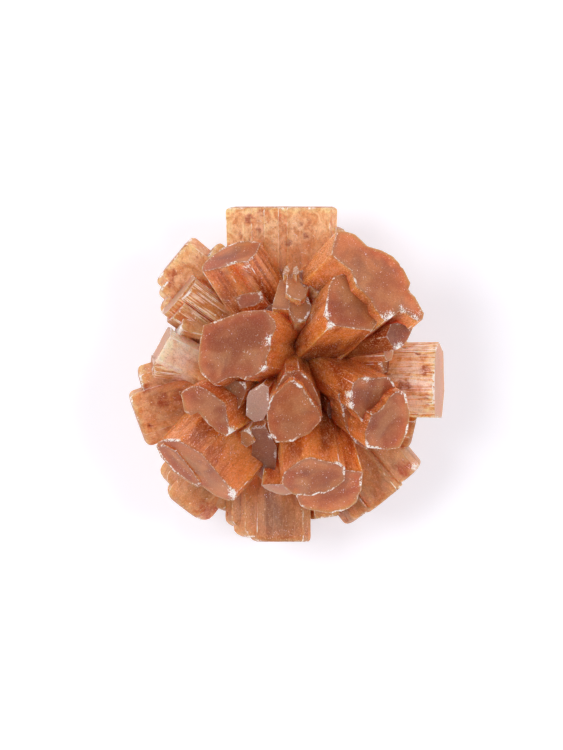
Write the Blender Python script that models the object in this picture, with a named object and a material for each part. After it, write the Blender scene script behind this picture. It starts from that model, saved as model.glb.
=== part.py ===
"""Aragonite cluster: pseudo-hexagonal twinned prisms that grew outwards from one core.

Every crystal is a prism with flat, matt end faces and straight sides that narrow towards the core.
All the crystals are united in one closed solid, which stands on the flat end of its lowest crystal.
Sizes below are in millimetres and degrees; MM turns them into metres.
"""
import math
import random

import bmesh
import bpy
from mathutils import Vector

MM = 0.001

# Driving dimensions
CORE = Vector((1.3, 2.5, 0.0))   # where the crystals radiate from; plan origin is the middle of the cluster
FOOT_REACH = 19.0                # from the core down to the flat end that the cluster stands on
STANCE_DROP = 0.15               # how far the outer feet end above that flat end
CORE_OVERLAP = 1.0               # how far a prism runs on past the core
OVERLAP_STEP = 0.07              # each prism runs on this much further than the last: no two share a plane
SHORTEST_EDGE = 0.02             # edges shorter than this are closed up
FLAT_ANGLE = math.radians(0.5)   # neighbouring faces within this angle are one face

# Ledges that run along the crystals' sides
LEDGE_PITCH = 1.6
LEDGE_DEPTHS = (0.05, 0.18)
LEDGE_RAMP = 0.15                # a ledge's slope takes this much of the side
LEDGE_DRIFT = 0.25               # how unevenly the ledges are spaced, in pitches

# The rim of a worn crystal, from its end face round to its sides
WORN_STEPS = (0.0, 45.0, 90.0)

# Pseudo-hexagonal sections of the crystals underneath
SECTION_SIDES = 6
CORNER_DRIFT = 6.0               # how far a corner strays around the axis, in degrees
CORNER_JITTER = 0.10             # and along the radius, as a part of it
NOTCH_EVERY = 3                  # every third corner is a re-entrant twin corner
NOTCH_DEPTH = 0.16               # its depth, as a part of the radius
NOTCH_SPREAD = 9.0               # half its opening, in degrees
FOOT_RADIUS = 7.0
FOOT_TURN = 12.0
LOWER_TAPER = 0.8
SEED = 5

SURFACE_COLOUR = (0.45, 0.17, 0.07, 1.0)
SURFACE_ROUGHNESS = 0.5

for old in list(bpy.data.objects):
    bpy.data.objects.remove(old, do_unlink=True)

dice = random.Random(SEED)
prisms = []


def axes(heading, lean):
    """The crystal's outward axis, and the across and up directions of its end face."""
    turn = math.radians(heading)
    tip = math.radians(lean)
    outwards = Vector((math.cos(turn), math.sin(turn), 0.0))
    axis = outwards * math.sin(tip) + Vector((0.0, 0.0, math.cos(tip)))
    across = Vector((outwards.y, -outwards.x, 0.0))
    up = across.cross(axis)
    return axis, across, up


def ledged(corners, axis):
    """The outline of an end face with every second strip of its longer sides set back a little."""
    around = sum((a.cross(b) for a, b in zip(corners, corners[1:] + corners[:1])), Vector())
    turn = 1.0 if around.dot(axis) > 0.0 else -1.0
    outline = []
    for here, there in zip(corners, corners[1:] + corners[:1]):
        outline.append(here)
        side = there - here
        strips = int(side.length / LEDGE_PITCH)
        if strips < 2:
            continue
        along = side.normalized()
        inwards = axis.cross(along) * turn
        depth = 0.0
        for strip in range(1, strips):
            spot = here + side * ((strip + dice.uniform(-LEDGE_DRIFT, LEDGE_DRIFT)) / strips)
            outline.append(spot + inwards * depth)
            last = strip == strips - 1
            depth = 0.0 if last or depth else dice.uniform(*LEDGE_DEPTHS)
            outline.append(spot + along * LEDGE_RAMP + inwards * depth)
    return outline


def add_prism(end, middle, axis, taper, worn=0.0):
    """One prism from its end face, with a rim rounded by worn, back to a smaller section at the core."""
    end = ledged(end, axis)
    root = CORE - axis * (CORE_OVERLAP + OVERLAP_STEP * len(prisms))
    length = (middle - root).length
    size = sum((corner - middle).length for corner in end) / len(end)
    levels = []
    for step in WORN_STEPS if worn else WORN_STEPS[-1:]:
        turn = math.radians(step)
        levels.append((worn * (1.0 - math.cos(turn)), 1.0 - worn * (1.0 - math.sin(turn)) / size))
    levels.append((length, taper))

    shape = bmesh.new()
    rings = []
    for depth, width in levels:
        spot = middle.lerp(root, depth / length)
        rings.append([shape.verts.new((spot + (corner - middle) * width) * MM) for corner in end])
    shape.faces.new(rings[0])
    shape.faces.new(list(reversed(rings[-1])))
    count = len(end)
    for upper, lower in zip(rings, rings[1:]):
        for i in range(count):
            j = (i + 1) % count
            shape.faces.new((upper[j], upper[i], lower[i], lower[j]))
    bmesh.ops.recalc_face_normals(shape, faces=shape.faces)
    mesh = bpy.data.meshes.new("prism")
    shape.to_mesh(mesh)
    shape.free()
    prisms.append(bpy.data.objects.new("prism", mesh))


def face_up(heading, lean, reach, corners, taper):
    """A crystal that shows its end face from above: the corners are x, y in plan."""
    axis = axes(heading, lean)[0]
    end = []
    for x, y in corners:
        flat = Vector((x, y, 0.0)) - CORE
        height = (reach - axis.x * flat.x - axis.y * flat.y) / axis.z
        end.append(Vector((x, y, height)))
    add_prism(end, sum(end, Vector()) / len(end), axis, taper)


def side_on(heading, lean, reach, section, taper=0.9, worn=0.0):
    """A crystal that shows its sides from above: the section is across, up, seen along its axis."""
    axis, across, up = axes(heading, lean)
    middle = CORE + axis * reach
    add_prism([middle + across * u + up * v for u, v in section], middle, axis, taper, worn)


# --- The hub: the crystals that look almost straight up ---------------------------------------
face_up(heading=168, lean=25, reach=21.0, taper=0.95, corners=[       # left, the largest of the hub
    (-12.4, 7.3), (-9.6, 8.3), (-6.4, 9.4), (-3.3, 9.6), (-1.8, 8.0), (-1.6, 7.0), (-2.5, 4.9),
    (-2.4, 3.8), (-3.0, 2.6), (-3.0, 1.1), (-4.6, -0.1), (-6.3, -0.8), (-7.2, -0.4), (-8.7, -0.5),
    (-10.8, -1.6), (-12.8, 0.2), (-13.2, 1.9), (-12.9, 5.0)])
face_up(heading=268, lean=22, reach=21.5, taper=0.85, corners=[       # front
    (-2.7, -4.3), (-2.1, -3.2), (0.3, -1.0), (1.0, -0.9), (2.4, -1.9), (4.8, -5.6), (5.1, -6.8),
    (3.3, -8.8), (1.8, -9.4), (0.9, -10.0), (-1.6, -10.1), (-2.4, -9.2), (-2.8, -7.7), (-3.0, -5.8)])
face_up(heading=270, lean=22, reach=19.9, taper=0.85, corners=[       # its shoulder, one step lower
    (-1.9, -2.6), (-0.2, 0.4), (1.8, 0.7), (3.6, -1.0), (4.9, -3.8), (5.3, -6.3), (3.0, -8.0), (-1.0, -7.0)])
face_up(heading=212, lean=40, reach=20.5, taper=1.0, corners=[        # left, one level down
    (-15.8, -2.9), (-15.3, -2.3), (-14.4, -1.9), (-13.2, -1.7), (-12.0, -2.2), (-11.0, -2.9),
    (-9.2, -4.3), (-9.0, -5.5), (-8.6, -7.9), (-8.1, -8.6), (-9.0, -9.2), (-10.4, -8.5), (-11.7, -7.4),
    (-13.2, -5.6), (-14.4, -6.1), (-15.3, -5.5)])
face_up(heading=205, lean=34, reach=17.8, taper=0.9, corners=[        # the ledge between these two
    (-9.4, -0.6), (-6.3, -1.2), (-6.0, -2.4), (-7.0, -4.8), (-8.2, -6.6), (-9.6, -4.6), (-10.6, -2.6)])

# --- Large crystals that lean outwards and show their end faces -------------------------------
face_up(heading=229, lean=62, reach=24.0, taper=1.0, corners=[        # south-west
    (-19.6, -10.7), (-19.2, -10.1), (-18.3, -9.7), (-16.2, -9.8), (-15.3, -10.3), (-12.7, -11.8),
    (-12.1, -12.5), (-10.2, -14.8), (-7.6, -17.9), (-7.9, -18.8), (-9.0, -18.8), (-10.6, -18.2),
    (-12.7, -16.7), (-13.3, -16.9), (-14.4, -16.4), (-17.1, -14.5), (-17.9, -13.4), (-18.9, -12.4)])
face_up(heading=229, lean=62, reach=24.2, taper=0.95, corners=[      # its outer part stands a little proud
    (-19.4, -11.0), (-18.6, -10.4), (-16.6, -11.4), (-15.2, -13.0), (-14.0, -14.6), (-12.9, -16.3),
    (-13.4, -16.7), (-14.4, -16.2), (-17.0, -14.4), (-17.9, -13.2), (-18.8, -12.3)])
face_up(heading=112, lean=65, reach=19.5, taper=1.0, corners=[        # north-north-west
    (-12.7, 16.0), (-12.4, 16.7), (-11.4, 17.6), (-9.6, 19.0), (-8.1, 19.6), (-6.9, 20.0), (-5.1, 20.0),
    (-3.9, 19.7), (-4.5, 18.2), (-5.8, 16.8), (-8.2, 16.7), (-9.1, 16.1), (-11.5, 15.6), (-12.6, 15.4)])
face_up(heading=44, lean=42, reach=24.4, taper=0.9, corners=[         # north-east, the largest end face
    (7.4, 21.2), (8.3, 21.4), (10.1, 20.9), (12.0, 19.1), (14.1, 18.5), (15.8, 17.6), (17.2, 16.1),
    (18.4, 13.6), (18.1, 12.7), (19.1, 11.5), (20.4, 9.1), (20.2, 8.2), (19.5, 8.0), (17.6, 9.2),
    (16.7, 9.4), (15.3, 8.3), (14.6, 8.0), (13.0, 9.8), (12.6, 11.0), (10.3, 13.1), (9.6, 15.4),
    (7.3, 17.2), (6.6, 17.8), (6.9, 19.3)])
face_up(heading=44, lean=42, reach=22.8, taper=1.0, corners=[         # its inner half, one step lower
    (6.2, 13.0), (7.0, 14.6), (8.1, 14.9), (12.0, 14.5), (14.5, 11.0), (13.6, 8.0), (12.6, 6.5),
    (10.3, 6.7), (7.1, 7.2), (6.3, 7.0), (5.6, 9.2), (6.1, 12.2)])
face_up(heading=11, lean=50, reach=23.2, taper=0.9, corners=[         # east-north-east, in its shade
    (14.7, 5.6), (15.4, 7.5), (16.4, 7.7), (18.8, 7.0), (18.0, 5.2), (17.3, 4.3), (16.4, 3.7), (15.5, 4.4)])
face_up(heading=2, lean=54, reach=20.0, taper=0.8, corners=[          # a small tip below it
    (14.4, 2.8), (14.7, 4.0), (15.4, 4.2), (15.9, 3.4), (15.6, 2.2), (14.9, 1.9)])
side_on(heading=2, lean=64, reach=15.4, worn=0.3, section=[   # between the two
    (-3.0, 1.2), (-1.6, 2.6), (1.4, 2.8), (2.8, 1.4), (3.0, -2.5), (0.0, -3.5), (-2.8, -2.5)])
face_up(heading=-33, lean=42, reach=23.8, taper=0.85, corners=[       # south-east
    (11.7, -10.0), (11.6, -8.5), (12.6, -5.9), (13.4, -5.6), (14.6, -4.4), (15.2, -3.4), (16.1, -2.6),
    (17.0, -2.4), (17.7, -2.9), (18.3, -5.8), (18.0, -8.5), (16.8, -10.9), (14.9, -11.2), (12.0, -10.9)])
face_up(heading=-33, lean=42, reach=22.4, taper=1.0, corners=[        # its inner half, one step lower
    (9.3, -3.2), (9.8, -1.3), (10.7, -0.5), (15.2, -0.4), (15.9, -1.3), (16.4, -2.8), (14.6, -6.2),
    (12.0, -8.4), (10.4, -5.8), (9.5, -5.0)])
face_up(heading=-42, lean=40, reach=19.6, taper=0.9, corners=[        # its flank, lower still
    (7.6, -3.0), (8.8, -1.6), (11.0, -2.0), (13.0, -8.0), (12.0, -11.2), (10.2, -10.2), (8.8, -8.0)])
face_up(heading=279, lean=50, reach=23.4, taper=0.95, corners=[       # south
    (-0.8, -16.0), (-0.4, -14.6), (1.6, -13.0), (2.6, -12.5), (3.6, -12.3), (6.3, -13.0), (7.8, -13.1),
    (8.7, -14.0), (8.6, -15.8), (6.8, -17.2), (5.4, -17.8), (3.6, -18.1), (1.0, -17.9), (-0.4, -16.7)])
face_up(heading=279, lean=50, reach=22.9, taper=0.9, corners=[        # its outer half, one step lower
    (1.4, -18.2), (2.1, -19.7), (3.3, -20.2), (6.6, -20.8), (8.1, -20.5), (9.3, -20.0), (10.4, -19.1),
    (11.1, -17.2), (11.3, -14.5), (8.7, -14.2), (5.1, -15.2)])
face_up(heading=272, lean=60, reach=21.0, taper=0.9, corners=[        # its small left neighbour
    (-3.8, -16.6), (-3.0, -16.4), (-0.5, -16.4), (1.2, -17.8), (-0.4, -18.1), (-1.6, -17.8), (-2.8, -17.3)])

# --- Small crystals in the clefts -------------------------------------------------------------
face_up(heading=229, lean=31, reach=17.5, taper=0.8, corners=[        # pale one beside the hub
    (-6.0, -3.5), (-5.6, -2.5), (-3.6, -1.3), (-2.7, -1.9), (-2.6, -4.7), (-3.5, -6.8), (-4.8, -7.1),
    (-6.1, -6.1)])
face_up(heading=250, lean=50, reach=18.4, taper=0.8, corners=[        # dark one below it
    (-5.3, -7.9), (-3.3, -7.6), (-1.5, -10.8), (-1.6, -13.4), (-2.1, -15.6), (-3.6, -15.9), (-5.4, -14.0),
    (-5.2, -10.9)])
face_up(heading=225, lean=58, reach=18.0, taper=0.8, corners=[
    (-6.9, -8.5), (-5.7, -8.0), (-4.8, -10.1), (-6.0, -10.9), (-6.8, -10.3)])
face_up(heading=88, lean=42, reach=17.4, taper=0.9, corners=[         # blades above the hub
    (-0.2, 12.1), (0.0, 14.6), (0.9, 15.1), (1.5, 14.8), (3.3, 13.1), (2.7, 11.4), (2.0, 11.0), (0.6, 11.4)])
face_up(heading=100, lean=46, reach=16.2, taper=0.9, corners=[
    (-2.0, 11.0), (-1.1, 14.0), (0.2, 14.6), (0.4, 11.6), (0.4, 9.6), (-2.2, 9.8)])
face_up(heading=80, lean=56, reach=16.7, taper=0.9, corners=[
    (1.2, 14.6), (1.4, 15.3), (3.1, 15.9), (3.5, 13.4), (2.6, 13.0)])
face_up(heading=92, lean=58, reach=17.6, taper=0.9, corners=[
    (-0.6, 15.0), (-0.4, 15.9), (0.1, 16.4), (0.4, 15.6), (0.1, 14.7)])
face_up(heading=88, lean=58, reach=17.9, taper=0.9, corners=[
    (0.9, 15.1), (1.0, 15.9), (1.5, 16.3), (1.9, 15.3), (1.4, 14.7)])
face_up(heading=88, lean=28, reach=16.7, taper=0.9, corners=[
    (0.4, 10.6), (1.5, 12.2), (3.1, 11.6), (3.8, 9.8), (2.8, 8.0), (1.2, 7.5), (0.3, 9.2)])
face_up(heading=112, lean=32, reach=15.0, taper=0.9, corners=[
    (-3.4, 9.8), (-2.2, 10.6), (0.2, 9.5), (0.5, 7.3), (0.0, 5.8), (-1.4, 6.6)])
face_up(heading=130, lean=44, reach=16.6, taper=1.0, corners=[
    (-7.8, 11.6), (-6.2, 12.1), (-3.9, 12.4), (-3.4, 11.2), (-4.7, 10.3), (-6.9, 9.8)])
face_up(heading=60, lean=44, reach=14.6, taper=0.9, corners=[
    (2.9, 12.8), (4.8, 12.5), (3.9, 11.0), (3.2, 11.3)])
face_up(heading=65, lean=48, reach=17.2, taper=0.9, corners=[
    (3.4, 13.2), (3.9, 14.9), (5.6, 15.0), (5.9, 13.4), (4.6, 12.0)])
face_up(heading=-60, lean=42, reach=15.4, taper=0.9, corners=[
    (6.1, -4.2), (7.1, -3.7), (7.6, -5.5), (7.9, -7.7), (6.7, -7.4), (6.0, -5.8)])
face_up(heading=100, lean=14, reach=9.4, taper=0.9, corners=[         # the bottom of the middle cleft
    (-1.2, 6.0), (1.2, 7.4), (2.8, 6.2), (2.6, 3.6), (0.4, 2.2), (-1.2, 3.6)])

# --- Outer crystals that lie on their sides, step by step around the rim ----------------------
side_on(heading=90, lean=88, reach=22.7, worn=0.6, section=[          # north, broad and flat
    (-10.5, 2.6), (-8.0, 4.0), (2.5, 4.3), (5.2, 3.9), (6.3, 2.2), (6.1, -3.5), (-2.0, -6.5), (-9.9, -3.8)])
side_on(heading=74, lean=86, reach=20.6, worn=0.4, section=[          # a stub at its right corner
    (-1.6, 1.4), (0.6, 2.2), (2.0, 0.4), (1.6, -3.5), (-1.5, -3.5)])
side_on(heading=141, lean=88, reach=23.6, worn=0.9, section=[         # north-west, worn at the rim
    (-4.4, -1.4), (-3.0, 1.0), (0.6, 2.2), (3.4, 1.2), (4.6, -1.6), (3.4, -6.5), (-2.0, -7.5)])
side_on(heading=141, lean=88, reach=22.3, worn=0.8, section=[
    (-5.6, -1.6), (-4.8, 0.2), (-2.8, 1.0), (-2.4, -6.0), (-5.2, -6.0)])
side_on(heading=141, lean=88, reach=20.8, worn=0.9, section=[
    (-7.3, -2.0), (-6.0, -0.2), (-3.2, 0.4), (-2.8, -6.0), (-6.0, -6.0)])
side_on(heading=141, lean=88, reach=20.0, worn=0.7, section=[
    (2.4, 0.6), (4.6, 0.9), (6.4, -0.8), (6.0, -4.0), (2.4, -5.0)])
side_on(heading=143, lean=80, reach=20.0, section=[                   # west-north-west, striated
    (-6.7, 0.5), (-4.0, 2.4), (0.5, 2.6), (1.0, -3.5), (-3.0, -5.5), (-6.7, -3.0)])
side_on(heading=143, lean=80, reach=19.7, section=[
    (-3.6, 2.0), (-2.8, 4.0), (-0.2, 4.2), (0.7, 2.0), (0.2, -1.0), (-3.6, -1.0)])
side_on(heading=143, lean=80, reach=19.0, section=[
    (-7.3, 0.0), (-6.2, 2.6), (-3.4, 3.2), (-3.2, -1.0), (-6.8, -2.0)])
side_on(heading=152, lean=80, reach=19.0, worn=0.5, section=[         # west, small and bright
    (-11.0, 0.8), (-9.9, 2.3), (-6.0, 3.0), (-5.0, 1.6), (-5.2, -2.5), (-10.6, -3.0)])
side_on(heading=172, lean=80, reach=21.3, worn=0.7, section=[
    (-5.9, -0.6), (-5.0, 1.0), (-3.4, 1.2), (-3.0, -3.5), (-5.6, -3.0)])
side_on(heading=167, lean=80, reach=18.6, worn=0.5, section=[
    (-0.6, 2.0), (0.2, 3.2), (2.0, 2.8), (2.4, 0.8), (1.6, -2.0), (-0.6, -2.0)])
side_on(heading=200, lean=88, reach=25.5, worn=0.9, section=[         # west-south-west
    (-5.0, -0.8), (-3.2, 1.4), (1.0, 2.2), (3.2, 1.4), (3.8, -0.6), (3.2, -5.0), (-1.0, -6.5), (-4.8, -4.5)])
side_on(heading=196, lean=88, reach=23.4, worn=0.8, section=[
    (1.6, 1.6), (4.0, 2.2), (5.4, 0.8), (5.0, -4.0), (1.6, -5.0)])
side_on(heading=232, lean=92, reach=28.2, worn=1.7, section=[         # south-west, under the large one
    (-4.9, -1.0), (-3.4, 1.2), (0.4, 2.4), (2.8, 1.6), (3.4, -4.0), (0.0, -6.0), (-4.4, -4.5)])
side_on(heading=232, lean=92, reach=26.6, worn=1.4, section=[
    (1.4, 1.6), (4.4, 1.2), (5.9, -0.6), (5.6, -4.5), (1.4, -5.5)])
side_on(heading=232, lean=92, reach=25.0, worn=1.0, section=[
    (-6.3, -1.6), (-5.6, -0.2), (-3.6, 0.4), (-3.4, -5.0), (-6.0, -4.5)])
side_on(heading=270, lean=90, reach=27.6, worn=0.8, section=[         # south
    (-2.3, 1.0), (-1.2, 2.6), (2.0, 2.8), (5.8, 2.4), (6.8, 1.0), (6.2, -5.0), (1.0, -6.5), (-2.0, -5.0)])
side_on(heading=270, lean=90, reach=27.0, worn=1.6, section=[
    (4.0, 2.4), (7.6, 2.2), (9.4, 0.4), (9.0, -4.0), (4.0, -5.5)])
side_on(heading=270, lean=90, reach=25.4, worn=1.4, section=[
    (7.0, 1.6), (9.6, 1.4), (10.6, -0.6), (10.2, -4.5), (7.0, -5.0)])
side_on(heading=0, lean=80, reach=21.9, section=[                     # east
    (-2.4, 0.5), (-1.0, 3.4), (3.0, 4.8), (5.6, 4.9), (9.0, 4.0), (9.0, -2.5), (5.0, -5.0), (-1.0, -4.0)])
side_on(heading=-51, lean=92, reach=25.0, worn=0.4, section=[         # south-east, broad, in three parts
    (-0.6, 1.6), (0.6, 2.8), (4.6, 2.6), (6.4, 1.4), (6.2, -5.0), (2.0, -7.0), (-0.6, -5.0)])
side_on(heading=-51, lean=92, reach=24.6, worn=0.6, section=[
    (-4.6, -1.0), (-3.6, 1.2), (-0.4, 2.2), (1.4, 1.4), (1.0, -5.4), (-5.0, -5.4)])
side_on(heading=-51, lean=92, reach=24.7, worn=0.9, section=[
    (4.4, 1.0), (5.8, 2.2), (8.4, 1.4), (10.0, -1.0), (9.4, -5.0), (4.8, -5.5)])
side_on(heading=-12, lean=90, reach=19.7, worn=0.8, section=[
    (3.8, -0.6), (5.8, 1.6), (8.2, 1.4), (9.8, -0.6), (9.4, -4.5), (3.8, -4.5)])
side_on(heading=-82, lean=92, reach=24.4, worn=0.6, section=[
    (-3.4, 0.6), (-2.2, 1.8), (0.4, 1.2), (1.2, -0.6), (1.0, -5.0), (-3.2, -5.0)])
side_on(heading=70, lean=88, reach=19.8, worn=0.6, section=[          # north-north-east, behind the largest
    (-2.4, 1.0), (1.0, 2.0), (3.0, 0.0), (2.4, -5.0), (-1.5, -4.5)])

# --- The underside: pseudo-hexagonal twins down to the foot -----------------------------------
def twin_section(radius, turn):
    """A hexagonal outline with uneven corners; every third one is notched, as twins' corners are."""
    section = []
    for side in range(SECTION_SIDES):
        angle = turn + 360.0 * side / SECTION_SIDES + dice.uniform(-CORNER_DRIFT, CORNER_DRIFT)
        size = radius * (1.0 + dice.uniform(-CORNER_JITTER, CORNER_JITTER))
        spots = [(angle, size)]
        if side % NOTCH_EVERY == 1:
            spots = [(angle - NOTCH_SPREAD, size), (angle, size * (1.0 - NOTCH_DEPTH)),
                     (angle + NOTCH_SPREAD, size)]
        for spot_angle, spot_size in spots:
            spot = math.radians(spot_angle)
            section.append((spot_size * math.cos(spot), spot_size * math.sin(spot)))
    return section


# heading, lean, reach, radius
LOWER_RING = [
    (28, 102, 17.6, 5.0), (55, 118, 18.0, 4.6), (92, 120, 21.0, 5.6), (126, 124, 21.0, 4.6),
    (158, 112, 18.6, 5.2), (196, 124, 21.5, 5.2), (228, 122, 23.0, 4.8), (262, 122, 23.0, 5.4),
    (306, 116, 20.5, 5.2), (342, 112, 18.4, 5.6), (8, 128, 18.4, 4.6)]
for heading, lean, reach, radius in LOWER_RING:
    side_on(heading, lean, reach, twin_section(radius, turn=heading), taper=LOWER_TAPER)

# heading, lean, radius: these reach down almost to the foot, and keep the cluster steady
OUTER_FEET = [(20, 144, 5.2), (88, 141, 4.8), (152, 145, 5.4), (222, 142, 5.0), (290, 144, 5.4)]
for heading, lean, radius in OUTER_FEET:
    section = twin_section(radius, turn=heading)
    axis, across, up = axes(heading, lean)
    lowest = min(up.z * v for u, v in section)
    reach = (FOOT_REACH - STANCE_DROP + lowest) / -axis.z
    side_on(heading, lean, reach, section, taper=LOWER_TAPER)

foot_section = twin_section(FOOT_RADIUS, turn=FOOT_TURN)
side_on(heading=0, lean=180, reach=FOOT_REACH, section=foot_section, taper=LOWER_TAPER)


# --- One solid --------------------------------------------------------------------------------
def united(parts):
    """The union of all the prisms, as one new object."""
    body, *others = parts
    bpy.context.collection.objects.link(body)
    for other in others:
        bpy.context.collection.objects.link(other)
        join = body.modifiers.new("join", "BOOLEAN")
        join.operation = 'UNION'
        join.solver = 'EXACT'
        join.object = other
        bpy.context.view_layer.update()
        seen = body.evaluated_get(bpy.context.evaluated_depsgraph_get())
        mesh = bpy.data.meshes.new_from_object(seen)
        body.modifiers.clear()
        body.data = mesh
        bpy.data.objects.remove(other, do_unlink=True)
    return body


cluster = united(prisms)
cluster.name = "aragonite_cluster"

shape = bmesh.new()
shape.from_mesh(cluster.data)
bmesh.ops.dissolve_limit(shape, angle_limit=FLAT_ANGLE, verts=shape.verts, edges=shape.edges)
bmesh.ops.triangulate(shape, faces=shape.faces)
bmesh.ops.dissolve_degenerate(shape, dist=SHORTEST_EDGE * MM, edges=shape.edges)

# The origin is the middle of the outline in plan, on the surface that the cluster stands on
low = Vector([min(v.co[k] for v in shape.verts) for k in range(3)])
high = Vector([max(v.co[k] for v in shape.verts) for k in range(3)])
origin = Vector(((low.x + high.x) / 2, (low.y + high.y) / 2, low.z))
bmesh.ops.translate(shape, verts=shape.verts, vec=-origin)
shape.to_mesh(cluster.data)
shape.free()

aragonite = bpy.data.materials.new("aragonite")
aragonite.use_nodes = True
surface = aragonite.node_tree.nodes["Principled BSDF"]
surface.inputs["Base Color"].default_value = SURFACE_COLOUR
surface.inputs["Roughness"].default_value = SURFACE_ROUGHNESS
cluster.data.materials.clear()
cluster.data.materials.append(aragonite)
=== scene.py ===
"""Aragonite cluster: the finished surface of every crystal, and the studio that it is shown in."""
import math
import random

import bpy
import numpy as np
from mathutils import Matrix, Vector, noise
from mathutils.geometry import delaunay_2d_cdt


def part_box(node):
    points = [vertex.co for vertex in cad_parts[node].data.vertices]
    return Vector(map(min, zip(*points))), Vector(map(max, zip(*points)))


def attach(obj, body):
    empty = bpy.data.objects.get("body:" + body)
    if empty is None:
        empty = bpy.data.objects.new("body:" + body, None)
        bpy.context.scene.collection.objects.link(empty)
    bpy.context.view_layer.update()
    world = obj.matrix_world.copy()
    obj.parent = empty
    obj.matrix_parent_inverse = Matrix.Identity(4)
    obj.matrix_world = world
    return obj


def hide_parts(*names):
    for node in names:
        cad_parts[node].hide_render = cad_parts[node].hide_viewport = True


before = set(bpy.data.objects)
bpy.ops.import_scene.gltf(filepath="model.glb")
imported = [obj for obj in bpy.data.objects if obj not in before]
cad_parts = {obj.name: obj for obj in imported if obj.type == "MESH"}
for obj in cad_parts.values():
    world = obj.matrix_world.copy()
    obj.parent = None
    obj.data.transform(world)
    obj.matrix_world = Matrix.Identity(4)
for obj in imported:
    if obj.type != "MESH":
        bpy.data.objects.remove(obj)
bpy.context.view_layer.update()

# === The hub: the crystals that look almost straight up =======================================
# Five stubby aragonite prisms in the middle. Like all the others they grew outwards from one core, as
# sets of three twins that share an axis and pass for a hexagon. The end of each is a flat, matt face;
# its sides have striations and ledges along the axis, and the brittle rim between them is chipped.
MM = 0.001
CORE = Vector((1.3, 2.5, 0.0))   # where all axes meet; crystals are laid out in mm, with the core at z = 0
SEED = 5

dice = random.Random(SEED)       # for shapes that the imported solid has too
wear = random.Random(SEED + 1)   # for what only the finished surface has
prisms = []
corners_seen = []


def axes(heading, lean):
    """The crystal's outward axis, and the across and up directions of its end face."""
    turn = math.radians(heading)
    tip = math.radians(lean)
    outwards = Vector((math.cos(turn), math.sin(turn), 0.0))
    axis = outwards * math.sin(tip) + Vector((0.0, 0.0, math.cos(tip)))
    across = Vector((outwards.y, -outwards.x, 0.0))
    up = across.cross(axis)
    return axis, across, up


LEDGE_PITCH = 1.6                # from one ledge to the next around a crystal
LEDGE_DEPTHS = (0.05, 0.18)
LEDGE_RAMP = 0.15
LEDGE_DRIFT = 0.25


def ledged(corners, axis):
    """The outline of an end face with every second strip of its longer sides set back a little."""
    around = sum((a.cross(b) for a, b in zip(corners, corners[1:] + corners[:1])), Vector())
    turn = 1.0 if around.dot(axis) > 0.0 else -1.0
    outline = []
    for here, there in zip(corners, corners[1:] + corners[:1]):
        outline.append(here)
        side = there - here
        strips = int(side.length / LEDGE_PITCH)
        if strips < 2:
            continue
        along = side.normalized()
        inwards = axis.cross(along) * turn
        depth = 0.0
        for strip in range(1, strips):
            spot = here + side * ((strip + dice.uniform(-LEDGE_DRIFT, LEDGE_DRIFT)) / strips)
            outline.append(spot + inwards * depth)
            last = strip == strips - 1
            depth = 0.0 if last or depth else dice.uniform(*LEDGE_DEPTHS)
            outline.append(spot + along * LEDGE_RAMP + inwards * depth)
    return outline


OUTLINE_STEP = 0.34              # spacing of points around a crystal


def fine_outline(corners):
    """The same outline with a point at least every OUTLINE_STEP."""
    points = []
    for here, there in zip(corners, np.roll(corners, -1, axis=0)):
        pieces = max(1, math.ceil(np.linalg.norm(there - here) / OUTLINE_STEP))
        points += [here + (there - here) * k / pieces for k in range(pieces)]
    return np.array(points)


RIDGE_TURN = (0.2, 0.9)          # the turn in radians where a ridge starts, and where it is sharp


def ridge_of(ring):
    """How sharp a ridge runs down the side from each point of the outline: 0 is none."""
    before = ring - np.roll(ring, 1, axis=0)
    after = np.roll(ring, -1, axis=0) - ring
    bend = np.arctan2(before[:, 0] * after[:, 1] - before[:, 1] * after[:, 0], (before * after).sum(1))
    return np.clip((bend - RIDGE_TURN[0]) / (RIDGE_TURN[1] - RIDGE_TURN[0]), 0.0, 1.0)


STRIA_PITCH = (0.25, 0.9)
STRIA_DEPTH = 0.035


def stria_depths(run, length):
    """How far each point around the crystal is set back by the fine striations."""
    spots = [0.0]
    while spots[-1] < length:
        spots.append(spots[-1] + wear.uniform(*STRIA_PITCH))
    depths = np.array([wear.random() ** 2 * STRIA_DEPTH for _ in spots])     # squared: most are shallow
    return depths[np.searchsorted(spots, run, side="right") - 1]


def waves(points, size, offset):
    """Smooth noise from -1 to 1, with waves of that size in mm, at points across, up and along a crystal.

    The offset moves the noise, so that no two crystals and no two kinds of wear have the same.
    """
    return np.array([noise.noise(Vector(p) / size + Vector((offset, 0.0, 0.0))) for p in points.tolist()])


CHIP_WIDTH = (0.02, 0.10)        # the small chips all along the rim
CHIP_DEPTH = (0.02, 0.09)
CHIP_PATCH = 0.9
BITE_SIZE = 0.55                 # the few large ones
BITE_PATCH = 1.6
BITE_START = 0.4                 # a higher value makes fewer of them
BITE_SLOPE = 2.0
BITE_DEPTH = 0.8                 # as a part of its width


def chips(ring, number):
    """How wide and how deep the rim is broken away at each point of the outline."""
    flat_ring = np.column_stack([ring, np.zeros(len(ring))])
    rough = 0.5 + 0.5 * waves(flat_ring, CHIP_PATCH, number * 7.3)
    bite = waves(flat_ring, BITE_PATCH, number * 3.1 + 50.0) - BITE_START
    bite = BITE_SIZE * (np.clip(bite, 0.0, 1.0) * BITE_SLOPE)
    width = CHIP_WIDTH[0] + (CHIP_WIDTH[1] - CHIP_WIDTH[0]) * rough + bite
    depth = CHIP_DEPTH[0] + (CHIP_DEPTH[1] - CHIP_DEPTH[0]) * rough[::-1] + bite * BITE_DEPTH
    return width, depth


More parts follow.
